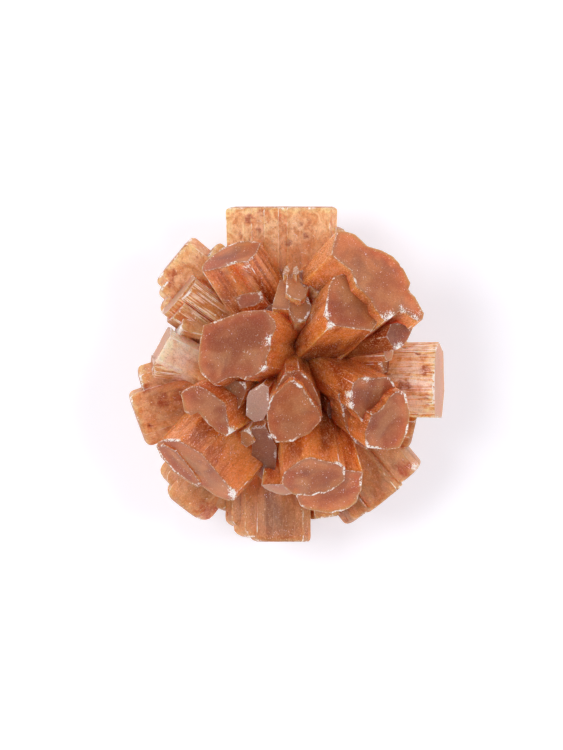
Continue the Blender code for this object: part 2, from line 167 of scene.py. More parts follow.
def rim_gaps(points, ring):
    """How far each point lies inside the ring; negative outside."""
    start, end = ring, np.roll(ring, -1, axis=0)
    side = end - start
    reach = (side ** 2).sum(1)
    gaps = []
    for p in points:
        t = np.clip(((p - start) * side).sum(1) / reach, 0.0, 1.0)
        gap = np.linalg.norm(start + side * t[:, None] - p, axis=1).min()
        crosses = (start[:, 1] > p[1]) != (end[:, 1] > p[1])
        x = start[:, 0] + (p[1] - start[:, 1]) / np.where(side[:, 1] == 0, 1e-9, side[:, 1]) * side[:, 0]
        gaps.append(gap if (crosses & (p[0] < x)).sum() % 2 else -gap)
    return np.array(gaps)


END_STEP = 0.8                   # spacing of points on an end face
END_DRIFT = 0.22
END_MARGIN = 0.36                # no point is nearer the rim than this
KEEP_INSIDE = 1                  # the triangulation's own number for leaving out what lies outside the rim
WELD = 1e-6                      # points nearer than this are one


def end_face(ring):
    """Points inside the ring with their distance from it, and the triangles that fill it."""
    low, high = ring.min(0), ring.max(0)
    grid = np.array([(x + wear.uniform(-END_DRIFT, END_DRIFT), y + wear.uniform(-END_DRIFT, END_DRIFT))
                     for x in np.arange(low[0], high[0], END_STEP)
                     for y in np.arange(low[1], high[1], END_STEP)])
    gaps = rim_gaps(grid, ring)
    kept = gaps > END_MARGIN
    count = len(ring)
    spots = [Vector(p) for p in np.vstack([ring, grid[kept]])]
    border = [(k, (k + 1) % count) for k in range(count)]
    found = delaunay_2d_cdt(spots, border, [], KEEP_INSIDE, WELD)
    origin = {new: olds[0] for new, olds in enumerate(found[3]) if olds}
    return grid[kept], gaps[kept], [[origin[k] for k in face] for face in found[2]]


SIDE_ROWS = (0.35, 1.0, 2.0, 3.6, 5.6, 8.2, 11.5, 15.5, 20.0)   # how far down a side its rows of points are
FINE_ROWS = 0.55                 # spacing of the rows where a side is pitted
FINE_LENGTH = 9.0
ROW_MARGIN = 1.0                 # the least from one kind of row to the next
WORN_STEPS = (22.0, 44.0, 66.0, 90.0)    # degrees around a rounded rim
WORN_CHIPS = 0.5                 # chips in a rounded rim are smaller by this factor


def rows_down(worn, pits, length, chip_width, chip_depth):
    """The rows of points from the end face to the core: how deep, and how far in from the full section."""
    plain = np.zeros(len(chip_width))
    if worn:
        rows = [(plain, worn + WORN_CHIPS * chip_width)]
        for step in WORN_STEPS:
            turn = math.radians(step)
            rows.append((worn * (1.0 - math.cos(turn)) + chip_depth, plain + worn * (1.0 - math.sin(turn))))
    else:
        rows = [(plain, chip_width), (chip_depth, plain)]
    depths = [s + worn for s in SIDE_ROWS]
    if pits:
        depths = list(np.arange(FINE_ROWS, FINE_LENGTH, FINE_ROWS) + worn)
        depths += [s for s in SIDE_ROWS if s > FINE_LENGTH + ROW_MARGIN]
    rows += [(plain + s, plain) for s in depths if s < length - ROW_MARGIN]
    rows.append((plain + length, plain))
    return rows


PIT_PATCH = 3.5                  # pits come in patches of this size
PATCH_EDGE = (0.2, 3.0)          # how much of a side they cover, and how sharply they end
PIT_SIZES = (0.75, 0.3)
PIT_START = 0.68                 # a pit lies where the noise is above this
PIT_SHARE = 0.25                 # how far pits=1 lowers that
PIT_SLOPE = 3.0


def pitted(here, pits, number):
    """How far each point of a row lies inside a pit: 0 is not, 1 is at its bottom."""
    found = waves(here, PIT_SIZES[0], number * 5.0) + 0.5 * waves(here, PIT_SIZES[1], number * 5.0)
    hollow = np.clip((found - PIT_START + PIT_SHARE * pits) * PIT_SLOPE, 0.0, 1.0)
    patch = PATCH_EDGE[0] + waves(here, PIT_PATCH, number + 9.0) * PATCH_EDGE[1]
    return hollow * np.clip(patch, 0.0, 1.0)


CORE_OVERLAP = 1.0               # how far past the core a prism ends, so that all of them join
OVERLAP_STEP = 0.07
PIT_DEPTH = 0.45
STRIA_PATCH = (0.6, 0.6, 0.25)   # striations fade in and out over patches that are long along the axis
STRIA_FADE = (0.7, 0.5)          # their usual strength there, and how much it varies
END_WAVE = 0.05                  # how uneven an end face is
END_PATCH = 2.2
GRAIN_SHIFT = (40.0, 17.0, 0.0)  # keeps one crystal's patterns apart from the next one's

# A crystal's finish: pale is the outer ones' clearer stone, also painted lighter for the light through it,
# then painted shade deep in a cleft, a pinkish painted reflection on the end, tint from its darkest to its
# lightest tone, streak for bands along the axis, and glare a painted highlight strip on a smoother side.
PLAIN_FINISH = {"pale": 0.0, "dusk": 0.0, "lilac": 0.0, "tint": 0.5, "streak": 0.12, "glare": 0.0}


def add_prism(end, middle, axis, taper, worn=0.0, pits=0.0, **finish):
    """One crystal from its end face back to a smaller, parallel section at the core."""
    number = len(prisms)
    root = CORE - axis * (CORE_OVERLAP + OVERLAP_STEP * number)
    length = (middle - root).length
    corners_seen.extend(end)
    across = axis.orthogonal().normalized()
    up = axis.cross(across)
    flat = np.array([((c - middle).dot(across), (c - middle).dot(up)) for c in ledged(end, axis)])
    if sum(a[0] * b[1] - a[1] * b[0] for a, b in zip(flat, np.roll(flat, -1, axis=0))) < 0.0:
        flat = flat[::-1]
    size = np.linalg.norm(flat, axis=1).mean()
    ring = fine_outline(flat)
    count = len(ring)
    inwards = flat.mean(0) - ring
    inwards /= np.linalg.norm(inwards, axis=1)[:, None]
    run = np.concatenate([[0.0], np.cumsum(np.linalg.norm(np.diff(ring, axis=0), axis=1))])
    stria = stria_depths(run, run[-1] + OUTLINE_STEP)
    rows = rows_down(worn, pits, length, *chips(ring, number))
    plane = np.array([across, up])

    # points from the rim down the sides, each with its place in the crystal and its marks
    verts, grain, gap, pit = [], [], [], []
    for row, (deep, inset) in enumerate(rows):
        here = np.column_stack([ring, deep])
        fade = STRIA_FADE[0] + STRIA_FADE[1] * waves(here * STRIA_PATCH, 1.0, number * 11.0)
        hollow = np.zeros(count)
        if pits and 0 < row < len(rows) - 1:
            hollow = pitted(here, pits, number)
        spots = ring * (1.0 - inset / size)[:, None] + inwards * (stria * fade + PIT_DEPTH * hollow)[:, None]
        part = deep / length
        line = np.array(middle) + np.outer(part, np.array(root - middle))
        verts.append(line + (spots * (1.0 - (1.0 - taper) * part)[:, None]) @ plane)
        grain.append(np.column_stack([spots, deep]))
        gap.append(deep)
        pit.append(hollow)

    # points on the end face
    extra, inner_gaps, faces = end_face(grain[0][:, :2])
    lows = np.column_stack([extra, np.zeros(len(extra))])
    sink = END_WAVE * (1.0 + waves(lows, END_PATCH, number * 5.0))
    verts.append(np.array(middle) + extra @ plane - np.outer(sink, np.array(axis)))
    grain.append(np.column_stack([extra, sink]))
    gap.append(inner_gaps)
    pit.append(np.zeros(len(extra)))
    ridge = [ridge_of(ring)] * len(rows) + [np.zeros(len(extra))]

    # faces: the end, the chipped row, the other rows and the root
    past = count * (len(rows) - 1)
    polygons = [[k if k < count else k + past for k in face] for face in faces]
    kinds = [(1.0, 0.0)] * len(polygons)
    for row in range(len(rows) - 1):
        for k in range(count):
            j = (k + 1) % count
            polygons.append([row * count + j, row * count + k, (row + 1) * count + k, (row + 1) * count + j])
            kinds.append((0.0, 1.0 if row == 0 else 0.0))
    polygons.append([past + k for k in reversed(range(count))])
    kinds.append((0.0, 0.0))
    mesh = bpy.data.meshes.new("prism")
    mesh.from_pydata((np.concatenate(verts) * MM).tolist(), [], polygons)

    index = np.empty(len(mesh.loops), dtype=np.int32)
    mesh.loops.foreach_get("vertex_index", index)
    kinds = np.repeat(np.array(kinds), [len(p) for p in polygons], axis=0)
    marks = {"end": kinds[:, 0], "chip": kinds[:, 1]}
    for name, values in (("gap", gap), ("pit", pit), ("ridge", ridge)):
        marks[name] = np.concatenate(values)[index]
    for name, value in {**PLAIN_FINISH, **finish}.items():
        marks[name] = np.full(len(index), value)
    for name, values in marks.items():
        mesh.attributes.new(name, "FLOAT", "CORNER").data.foreach_set("value", values)
    layer = mesh.attributes.new("grain", "FLOAT_VECTOR", "CORNER")
    layer.data.foreach_set("vector", (np.concatenate(grain)[index] + number * np.array(GRAIN_SHIFT)).ravel())
    prisms.append(bpy.data.objects.new("prism", mesh))


def face_up(heading, lean, reach, corners, taper, **finish):
    """A crystal that shows its end face from above: the corners are x, y in plan."""
    axis = axes(heading, lean)[0]
    end = []
    for x, y in corners:
        flat = Vector((x, y, 0.0)) - CORE
        height = (reach - axis.x * flat.x - axis.y * flat.y) / axis.z
        end.append(Vector((x, y, height)))
    add_prism(end, sum(end, Vector()) / len(end), axis, taper, **finish)


face_up(heading=168, lean=25, reach=21.0, taper=0.95, corners=[       # left, the largest of the hub
    (-12.4, 7.3), (-9.6, 8.3), (-6.4, 9.4), (-3.3, 9.6), (-1.8, 8.0), (-1.6, 7.0), (-2.5, 4.9),
    (-2.4, 3.8), (-3.0, 2.6), (-3.0, 1.1), (-4.6, -0.1), (-6.3, -0.8), (-7.2, -0.4), (-8.7, -0.5),
    (-10.8, -1.6), (-12.8, 0.2), (-13.2, 1.9), (-12.9, 5.0)], tint=0.25)
face_up(heading=268, lean=22, reach=21.5, taper=0.85, corners=[       # front
    (-2.7, -4.3), (-2.1, -3.2), (0.3, -1.0), (1.0, -0.9), (2.4, -1.9), (4.8, -5.6), (5.1, -6.8),
    (3.3, -8.8), (1.8, -9.4), (0.9, -10.0), (-1.6, -10.1), (-2.4, -9.2), (-2.8, -7.7), (-3.0, -5.8)],
    tint=0.3)
face_up(heading=270, lean=22, reach=19.9, taper=0.85, corners=[       # its shoulder, one step lower
    (-1.9, -2.6), (-0.2, 0.4), (1.8, 0.7), (3.6, -1.0), (4.9, -3.8), (5.3, -6.3), (3.0, -8.0), (-1.0, -7.0)],
    tint=0.3)
face_up(heading=212, lean=40, reach=20.5, taper=1.0, corners=[        # left, one level down
    (-15.8, -2.9), (-15.3, -2.3), (-14.4, -1.9), (-13.2, -1.7), (-12.0, -2.2), (-11.0, -2.9),
    (-9.2, -4.3), (-9.0, -5.5), (-8.6, -7.9), (-8.1, -8.6), (-9.0, -9.2), (-10.4, -8.5), (-11.7, -7.4),
    (-13.2, -5.6), (-14.4, -6.1), (-15.3, -5.5)], tint=0.2)
face_up(heading=205, lean=34, reach=17.8, taper=0.9, corners=[        # the ledge between these two
    (-9.4, -0.6), (-6.3, -1.2), (-6.0, -2.4), (-7.0, -4.8), (-8.2, -6.6), (-9.6, -4.6), (-10.6, -2.6)],
    dusk=0.3, tint=0.3)


# === Large crystals that lean outwards and show their end faces ===============================
# Thick aragonite twins around the hub, 7 to 15 mm across. Several of them have an end in two or three
# steps, where one twin outgrew its neighbours. Their roots are joined in the core.
face_up(heading=229, lean=62, reach=24.0, taper=1.0, corners=[        # south-west
    (-19.6, -10.7), (-19.2, -10.1), (-18.3, -9.7), (-16.2, -9.8), (-15.3, -10.3), (-12.7, -11.8),
    (-12.1, -12.5), (-10.2, -14.8), (-7.6, -17.9), (-7.9, -18.8), (-9.0, -18.8), (-10.6, -18.2),
    (-12.7, -16.7), (-13.3, -16.9), (-14.4, -16.4), (-17.1, -14.5), (-17.9, -13.4), (-18.9, -12.4)],
    tint=0.6)
face_up(heading=229, lean=62, reach=24.2, taper=0.95, corners=[      # its outer part stands a little proud
    (-19.4, -11.0), (-18.6, -10.4), (-16.6, -11.4), (-15.2, -13.0), (-14.0, -14.6), (-12.9, -16.3),
    (-13.4, -16.7), (-14.4, -16.2), (-17.0, -14.4), (-17.9, -13.2), (-18.8, -12.3)], tint=0.6)
face_up(heading=112, lean=65, reach=19.5, taper=1.0, corners=[        # north-north-west
    (-12.7, 16.0), (-12.4, 16.7), (-11.4, 17.6), (-9.6, 19.0), (-8.1, 19.6), (-6.9, 20.0), (-5.1, 20.0),
    (-3.9, 19.7), (-4.5, 18.2), (-5.8, 16.8), (-8.2, 16.7), (-9.1, 16.1), (-11.5, 15.6), (-12.6, 15.4)],
    tint=0.8, streak=0.6)
face_up(heading=44, lean=42, reach=24.4, taper=0.9, corners=[         # north-east, the largest end face
    (7.4, 21.2), (8.3, 21.4), (10.1, 20.9), (12.0, 19.1), (14.1, 18.5), (15.8, 17.6), (17.2, 16.1),
    (18.4, 13.6), (18.1, 12.7), (19.1, 11.5), (20.4, 9.1), (20.2, 8.2), (19.5, 8.0), (17.6, 9.2),
    (16.7, 9.4), (15.3, 8.3), (14.6, 8.0), (13.0, 9.8), (12.6, 11.0), (10.3, 13.1), (9.6, 15.4),
    (7.3, 17.2), (6.6, 17.8), (6.9, 19.3)], tint=1.0, pale=0.25)
face_up(heading=44, lean=42, reach=22.8, taper=1.0, corners=[         # its inner half, one step lower
    (6.2, 13.0), (7.0, 14.6), (8.1, 14.9), (12.0, 14.5), (14.5, 11.0), (13.6, 8.0), (12.6, 6.5),
    (10.3, 6.7), (7.1, 7.2), (6.3, 7.0), (5.6, 9.2), (6.1, 12.2)], tint=0.35)
face_up(heading=11, lean=50, reach=23.2, taper=0.9, corners=[         # east-north-east, in its shade
    (14.7, 5.6), (15.4, 7.5), (16.4, 7.7), (18.8, 7.0), (18.0, 5.2), (17.3, 4.3), (16.4, 3.7), (15.5, 4.4)],
    dusk=0.9)
face_up(heading=2, lean=54, reach=20.0, taper=0.8, corners=[          # a small tip below it
    (14.4, 2.8), (14.7, 4.0), (15.4, 4.2), (15.9, 3.4), (15.6, 2.2), (14.9, 1.9)], pale=0.6)


def side_on(heading, lean, reach, section, taper=0.9, worn=0.0, pits=0.4, pale=1.0, **finish):
    """A crystal that shows its sides from above: the section is across, up, seen along its axis."""
    axis, across, up = axes(heading, lean)
    middle = CORE + axis * reach
    end = [middle + across * u + up * v for u, v in section]
    add_prism(end, middle, axis, taper, worn=worn, pits=pits, pale=pale, **finish)


side_on(heading=2, lean=64, reach=15.4, worn=0.3, pits=0.3, pale=0.0, section=[   # between the two
    (-3.0, 1.2), (-1.6, 2.6), (1.4, 2.8), (2.8, 1.4), (3.0, -2.5), (0.0, -3.5), (-2.8, -2.5)], dusk=0.2)
face_up(heading=-33, lean=42, reach=23.8, taper=0.85, corners=[       # south-east
    (11.7, -10.0), (11.6, -8.5), (12.6, -5.9), (13.4, -5.6), (14.6, -4.4), (15.2, -3.4), (16.1, -2.6),
    (17.0, -2.4), (17.7, -2.9), (18.3, -5.8), (18.0, -8.5), (16.8, -10.9), (14.9, -11.2), (12.0, -10.9)],
    tint=0.25)
face_up(heading=-33, lean=42, reach=22.4, taper=1.0, corners=[        # its inner half, one step lower
    (9.3, -3.2), (9.8, -1.3), (10.7, -0.5), (15.2, -0.4), (15.9, -1.3), (16.4, -2.8), (14.6, -6.2),
    (12.0, -8.4), (10.4, -5.8), (9.5, -5.0)], tint=0.15)
face_up(heading=-42, lean=40, reach=19.6, taper=0.9, corners=[        # its flank, lower still
    (7.6, -3.0), (8.8, -1.6), (11.0, -2.0), (13.0, -8.0), (12.0, -11.2), (10.2, -10.2), (8.8, -8.0)])
face_up(heading=279, lean=50, reach=23.4, taper=0.95, corners=[       # south
    (-0.8, -16.0), (-0.4, -14.6), (1.6, -13.0), (2.6, -12.5), (3.6, -12.3), (6.3, -13.0), (7.8, -13.1),
    (8.7, -14.0), (8.6, -15.8), (6.8, -17.2), (5.4, -17.8), (3.6, -18.1), (1.0, -17.9), (-0.4, -16.7)],
    tint=0.6)
face_up(heading=279, lean=50, reach=22.9, taper=0.9, corners=[        # its outer half, one step lower
    (1.4, -18.2), (2.1, -19.7), (3.3, -20.2), (6.6, -20.8), (8.1, -20.5), (9.3, -20.0), (10.4, -19.1),
    (11.1, -17.2), (11.3, -14.5), (8.7, -14.2), (5.1, -15.2)], tint=0.75)
face_up(heading=272, lean=60, reach=21.0, taper=0.9, corners=[        # its small left neighbour
    (-3.8, -16.6), (-3.0, -16.4), (-0.5, -16.4), (1.2, -17.8), (-0.4, -18.1), (-1.6, -17.8), (-2.8, -17.3)],
    lilac=0.6)


# === Small crystals in the clefts =============================================================
# Thin aragonite blades and stubs that stayed short where the large ones crowd them. Those in deep
# shade are painted darker, and the end of one beside the hub has a pale pinkish painted reflection.
# They are joined to their neighbours' flanks.
face_up(heading=229, lean=31, reach=17.5, taper=0.8, corners=[        # pale one beside the hub
    (-6.0, -3.5), (-5.6, -2.5), (-3.6, -1.3), (-2.7, -1.9), (-2.6, -4.7), (-3.5, -6.8), (-4.8, -7.1),
    (-6.1, -6.1)], lilac=1.0)
face_up(heading=250, lean=50, reach=18.4, taper=0.8, corners=[        # dark one below it
    (-5.3, -7.9), (-3.3, -7.6), (-1.5, -10.8), (-1.6, -13.4), (-2.1, -15.6), (-3.6, -15.9), (-5.4, -14.0),
    (-5.2, -10.9)], dusk=1.0)
face_up(heading=225, lean=58, reach=18.0, taper=0.8, corners=[
    (-6.9, -8.5), (-5.7, -8.0), (-4.8, -10.1), (-6.0, -10.9), (-6.8, -10.3)], pale=0.5)
face_up(heading=88, lean=42, reach=17.4, taper=0.9, corners=[         # blades above the hub
    (-0.2, 12.1), (0.0, 14.6), (0.9, 15.1), (1.5, 14.8), (3.3, 13.1), (2.7, 11.4), (2.0, 11.0), (0.6, 11.4)],
    pale=0.6, tint=1.0)
face_up(heading=100, lean=46, reach=16.2, taper=0.9, corners=[
    (-2.0, 11.0), (-1.1, 14.0), (0.2, 14.6), (0.4, 11.6), (0.4, 9.6), (-2.2, 9.8)], pale=0.3, tint=0.9)
face_up(heading=80, lean=56, reach=16.7, taper=0.9, corners=[
    (1.2, 14.6), (1.4, 15.3), (3.1, 15.9), (3.5, 13.4), (2.6, 13.0)], dusk=0.7)
face_up(heading=92, lean=58, reach=17.6, taper=0.9, corners=[
    (-0.6, 15.0), (-0.4, 15.9), (0.1, 16.4), (0.4, 15.6), (0.1, 14.7)], pale=0.7, tint=0.6, glare=0.3)
face_up(heading=88, lean=58, reach=17.9, taper=0.9, corners=[
    (0.9, 15.1), (1.0, 15.9), (1.5, 16.3), (1.9, 15.3), (1.4, 14.7)], pale=0.7, tint=0.6, glare=0.3)
face_up(heading=88, lean=28, reach=16.7, taper=0.9, corners=[
    (0.4, 10.6), (1.5, 12.2), (3.1, 11.6), (3.8, 9.8), (2.8, 8.0), (1.2, 7.5), (0.3, 9.2)],
    pale=0.6, tint=1.0)
face_up(heading=112, lean=32, reach=15.0, taper=0.9, corners=[
    (-3.4, 9.8), (-2.2, 10.6), (0.2, 9.5), (0.5, 7.3), (0.0, 5.8), (-1.4, 6.6)], dusk=0.8)
face_up(heading=130, lean=44, reach=16.6, taper=1.0, corners=[
    (-7.8, 11.6), (-6.2, 12.1), (-3.9, 12.4), (-3.4, 11.2), (-4.7, 10.3), (-6.9, 9.8)], dusk=0.7)
face_up(heading=60, lean=44, reach=14.6, taper=0.9, corners=[
    (2.9, 12.8), (4.8, 12.5), (3.9, 11.0), (3.2, 11.3)], dusk=0.7)
face_up(heading=65, lean=48, reach=17.2, taper=0.9, corners=[
    (3.4, 13.2), (3.9, 14.9), (5.6, 15.0), (5.9, 13.4), (4.6, 12.0)], pale=0.7, lilac=0.3)
face_up(heading=-60, lean=42, reach=15.4, taper=0.9, corners=[
    (6.1, -4.2), (7.1, -3.7), (7.6, -5.5), (7.9, -7.7), (6.7, -7.4), (6.0, -5.8)], dusk=0.8)
face_up(heading=100, lean=14, reach=9.4, taper=0.9, corners=[         # the bottom of the middle cleft
    (-1.2, 6.0), (1.2, 7.4), (2.8, 6.2), (2.6, 3.6), (0.4, 2.2), (-1.2, 3.6)], dusk=0.6)


# === Outer crystals that lie on their sides, step by step around the rim ======================
# Broad aragonite prisms that point outwards, clearer and paler than the hub: their stone is paler, and
# they are painted lighter still for the light that passes through them. Their free ends are worn round,
# and their sides are striated and pitted.
side_on(heading=90, lean=88, reach=22.7, worn=0.6, section=[          # north, broad and flat
    (-10.5, 2.6), (-8.0, 4.0), (2.5, 4.3), (5.2, 3.9), (6.3, 2.2), (6.1, -3.5), (-2.0, -6.5), (-9.9, -3.8)],
    tint=0.95, streak=0.2)
side_on(heading=74, lean=86, reach=20.6, worn=0.4, section=[          # a stub at its right corner
    (-1.6, 1.4), (0.6, 2.2), (2.0, 0.4), (1.6, -3.5), (-1.5, -3.5)])
side_on(heading=141, lean=88, reach=23.6, worn=0.9, section=[         # north-west, worn at the rim
    (-4.4, -1.4), (-3.0, 1.0), (0.6, 2.2), (3.4, 1.2), (4.6, -1.6), (3.4, -6.5), (-2.0, -7.5)], tint=0.8)
side_on(heading=141, lean=88, reach=22.3, worn=0.8, section=[
    (-5.6, -1.6), (-4.8, 0.2), (-2.8, 1.0), (-2.4, -6.0), (-5.2, -6.0)], tint=0.8)
side_on(heading=141, lean=88, reach=20.8, worn=0.9, section=[
    (-7.3, -2.0), (-6.0, -0.2), (-3.2, 0.4), (-2.8, -6.0), (-6.0, -6.0)], tint=0.8)
side_on(heading=141, lean=88, reach=20.0, worn=0.7, section=[
    (2.4, 0.6), (4.6, 0.9), (6.4, -0.8), (6.0, -4.0), (2.4, -5.0)], tint=0.8)
side_on(heading=143, lean=80, reach=20.0, section=[                   # west-north-west, striated
    (-6.7, 0.5), (-4.0, 2.4), (0.5, 2.6), (1.0, -3.5), (-3.0, -5.5), (-6.7, -3.0)],
    lilac=0.8, tint=0.3, streak=0.8)
side_on(heading=143, lean=80, reach=19.7, section=[
    (-3.6, 2.0), (-2.8, 4.0), (-0.2, 4.2), (0.7, 2.0), (0.2, -1.0), (-3.6, -1.0)],
    lilac=0.8, tint=0.3, streak=0.8, glare=0.4)
side_on(heading=143, lean=80, reach=19.0, section=[
    (-7.3, 0.0), (-6.2, 2.6), (-3.4, 3.2), (-3.2, -1.0), (-6.8, -2.0)], lilac=0.8, tint=0.3, streak=0.8)
side_on(heading=152, lean=80, reach=19.0, worn=0.5, section=[         # west, small and bright
    (-11.0, 0.8), (-9.9, 2.3), (-6.0, 3.0), (-5.0, 1.6), (-5.2, -2.5), (-10.6, -3.0)],
    lilac=0.9, tint=1.0, glare=1.0)
side_on(heading=172, lean=80, reach=21.3, worn=0.7, section=[
    (-5.9, -0.6), (-5.0, 1.0), (-3.4, 1.2), (-3.0, -3.5), (-5.6, -3.0)], glare=0.5)
side_on(heading=167, lean=80, reach=18.6, worn=0.5, section=[
    (-0.6, 2.0), (0.2, 3.2), (2.0, 2.8), (2.4, 0.8), (1.6, -2.0), (-0.6, -2.0)])
side_on(heading=200, lean=88, reach=25.5, worn=0.9, section=[         # west-south-west
    (-5.0, -0.8), (-3.2, 1.4), (1.0, 2.2), (3.2, 1.4), (3.8, -0.6), (3.2, -5.0), (-1.0, -6.5), (-4.8, -4.5)],
    tint=0.45)
side_on(heading=196, lean=88, reach=23.4, worn=0.8, section=[
    (1.6, 1.6), (4.0, 2.2), (5.4, 0.8), (5.0, -4.0), (1.6, -5.0)])
side_on(heading=232, lean=92, reach=28.2, worn=1.7, section=[         # south-west, under the large one
    (-4.9, -1.0), (-3.4, 1.2), (0.4, 2.4), (2.8, 1.6), (3.4, -4.0), (0.0, -6.0), (-4.4, -4.5)], tint=0.3)
side_on(heading=232, lean=92, reach=26.6, worn=1.4, section=[
    (1.4, 1.6), (4.4, 1.2), (5.9, -0.6), (5.6, -4.5), (1.4, -5.5)], tint=0.3)
side_on(heading=232, lean=92, reach=25.0, worn=1.0, section=[
    (-6.3, -1.6), (-5.6, -0.2), (-3.6, 0.4), (-3.4, -5.0), (-6.0, -4.5)], tint=0.3)
side_on(heading=270, lean=90, reach=27.6, worn=0.8, section=[         # south
    (-2.3, 1.0), (-1.2, 2.6), (2.0, 2.8), (5.8, 2.4), (6.8, 1.0), (6.2, -5.0), (1.0, -6.5), (-2.0, -5.0)],
    tint=0.1, dusk=0.15)
side_on(heading=270, lean=90, reach=27.0, worn=1.6, section=[
    (4.0, 2.4), (7.6, 2.2), (9.4, 0.4), (9.0, -4.0), (4.0, -5.5)], tint=0.1)
side_on(heading=270, lean=90, reach=25.4, worn=1.4, section=[
    (7.0, 1.6), (9.6, 1.4), (10.6, -0.6), (10.2, -4.5), (7.0, -5.0)], tint=0.2)
side_on(heading=0, lean=80, reach=21.9, section=[                     # east
    (-2.4, 0.5), (-1.0, 3.4), (3.0, 4.8), (5.6, 4.9), (9.0, 4.0), (9.0, -2.5), (5.0, -5.0), (-1.0, -4.0)],
    lilac=0.8, tint=1.0, streak=0.6, glare=0.5)
side_on(heading=-51, lean=92, reach=25.0, worn=0.4, section=[         # south-east, broad, in three parts
    (-0.6, 1.6), (0.6, 2.8), (4.6, 2.6), (6.4, 1.4), (6.2, -5.0), (2.0, -7.0), (-0.6, -5.0)], tint=0.3)
side_on(heading=-51, lean=92, reach=24.6, worn=0.6, section=[
    (-4.6, -1.0), (-3.6, 1.2), (-0.4, 2.2), (1.4, 1.4), (1.0, -5.4), (-5.0, -5.4)], tint=0.3)
side_on(heading=-51, lean=92, reach=24.7, worn=0.9, section=[
    (4.4, 1.0), (5.8, 2.2), (8.4, 1.4), (10.0, -1.0), (9.4, -5.0), (4.8, -5.5)], tint=0.15, dusk=0.2)
side_on(heading=-12, lean=90, reach=19.7, worn=0.8, section=[
    (3.8, -0.6), (5.8, 1.6), (8.2, 1.4), (9.8, -0.6), (9.4, -4.5), (3.8, -4.5)], tint=0.1)
side_on(heading=-82, lean=92, reach=24.4, worn=0.6, section=[
    (-3.4, 0.6), (-2.2, 1.8), (0.4, 1.2), (1.2, -0.6), (1.0, -5.0), (-3.2, -5.0)], tint=0.1)
side_on(heading=70, lean=88, reach=19.8, worn=0.6, section=[          # north-north-east, behind the largest
    (-2.4, 1.0), (1.0, 2.0), (3.0, 0.0), (2.4, -5.0), (-1.5, -4.5)])


# === The underside: pseudo-hexagonal twins down to the foot ===================================
# The lower half of the ball, of the same aragonite. Each prism is a hexagon with uneven corners, and
# some corners are notched where two twins meet. The lowest ends in the flat face that it stands on.
SECTION_SIDES = 6
CORNER_DRIFT = 6.0               # degrees
CORNER_JITTER = 0.10
NOTCH_EVERY = 3
NOTCH_DEPTH = 0.16
NOTCH_SPREAD = 9.0               # degrees


def twin_section(radius, turn):
    """A hexagonal outline with uneven corners; every third one is notched, as twins' corners are."""
    section = []
    for side in range(SECTION_SIDES):
        angle = turn + 360.0 * side / SECTION_SIDES + dice.uniform(-CORNER_DRIFT, CORNER_DRIFT)
        size = radius * (1.0 + dice.uniform(-CORNER_JITTER, CORNER_JITTER))
        spots = [(angle, size)]
        if side % NOTCH_EVERY == 1:
            spots = [(angle - NOTCH_SPREAD, size), (angle, size * (1.0 - NOTCH_DEPTH)),
                     (angle + NOTCH_SPREAD, size)]
        for spot_angle, spot_size in spots:
            spot = math.radians(spot_angle)
            section.append((spot_size * math.cos(spot), spot_size * math.sin(spot)))
    return section


LOWER_TAPER = 0.8
# heading, lean, reach, radius
LOWER_RING = [
    (28, 102, 17.6, 5.0), (55, 118, 18.0, 4.6), (92, 120, 21.0, 5.6), (126, 124, 21.0, 4.6),
    (158, 112, 18.6, 5.2), (196, 124, 21.5, 5.2), (228, 122, 23.0, 4.8), (262, 122, 23.0, 5.4),
    (306, 116, 20.5, 5.2), (342, 112, 18.4, 5.6), (8, 128, 18.4, 4.6)]
for heading, lean, reach, radius in LOWER_RING:
    side_on(heading, lean, reach, twin_section(radius, turn=heading), taper=LOWER_TAPER)

FOOT_REACH = 19.0                # from the core down to the foot
STANCE_DROP = 0.15               # the others stay this far above the floor
# heading, lean, radius: these reach down almost to the foot, and keep the cluster steady
OUTER_FEET = [(20, 144, 5.2), (88, 141, 4.8), (152, 145, 5.4), (222, 142, 5.0), (290, 144, 5.4)]
for heading, lean, radius in OUTER_FEET:
    section = twin_section(radius, turn=heading)
    axis, across, up = axes(heading, lean)
    lowest = min(up.z * v for u, v in section)
    reach = (FOOT_REACH - STANCE_DROP + lowest) / -axis.z
    side_on(heading, lean, reach, section, taper=LOWER_TAPER)

FOOT_RADIUS = 7.0
FOOT_TURN = 12.0
foot_section = twin_section(FOOT_RADIUS, turn=FOOT_TURN)
side_on(heading=0, lean=180, reach=FOOT_REACH, section=foot_section, taper=LOWER_TAPER)


# === The joined cluster =======================================================================
# The crystals grew into one another, so they are one solid: a union of all the prisms above. It
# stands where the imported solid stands, and takes its place.
SHARP_ANGLE = math.radians(24.0)

body, *others = prisms
grown = bpy.data.collections.new("grown")
bpy.context.scene.collection.children.link(grown)
bpy.context.scene.collection.objects.link(body)
for other in others:
    grown.objects.link(other)
join = body.modifiers.new("join", "BOOLEAN")
join.operation = 'UNION'
join.solver = 'MANIFOLD'
join.operand_type = 'COLLECTION'
join.collection = grown
bpy.context.view_layer.update()
mesh = bpy.data.meshes.new_from_object(body.evaluated_get(bpy.context.evaluated_depsgraph_get()))
for prism in prisms:
    bpy.data.objects.remove(prism, do_unlink=True)
bpy.data.collections.remove(grown)

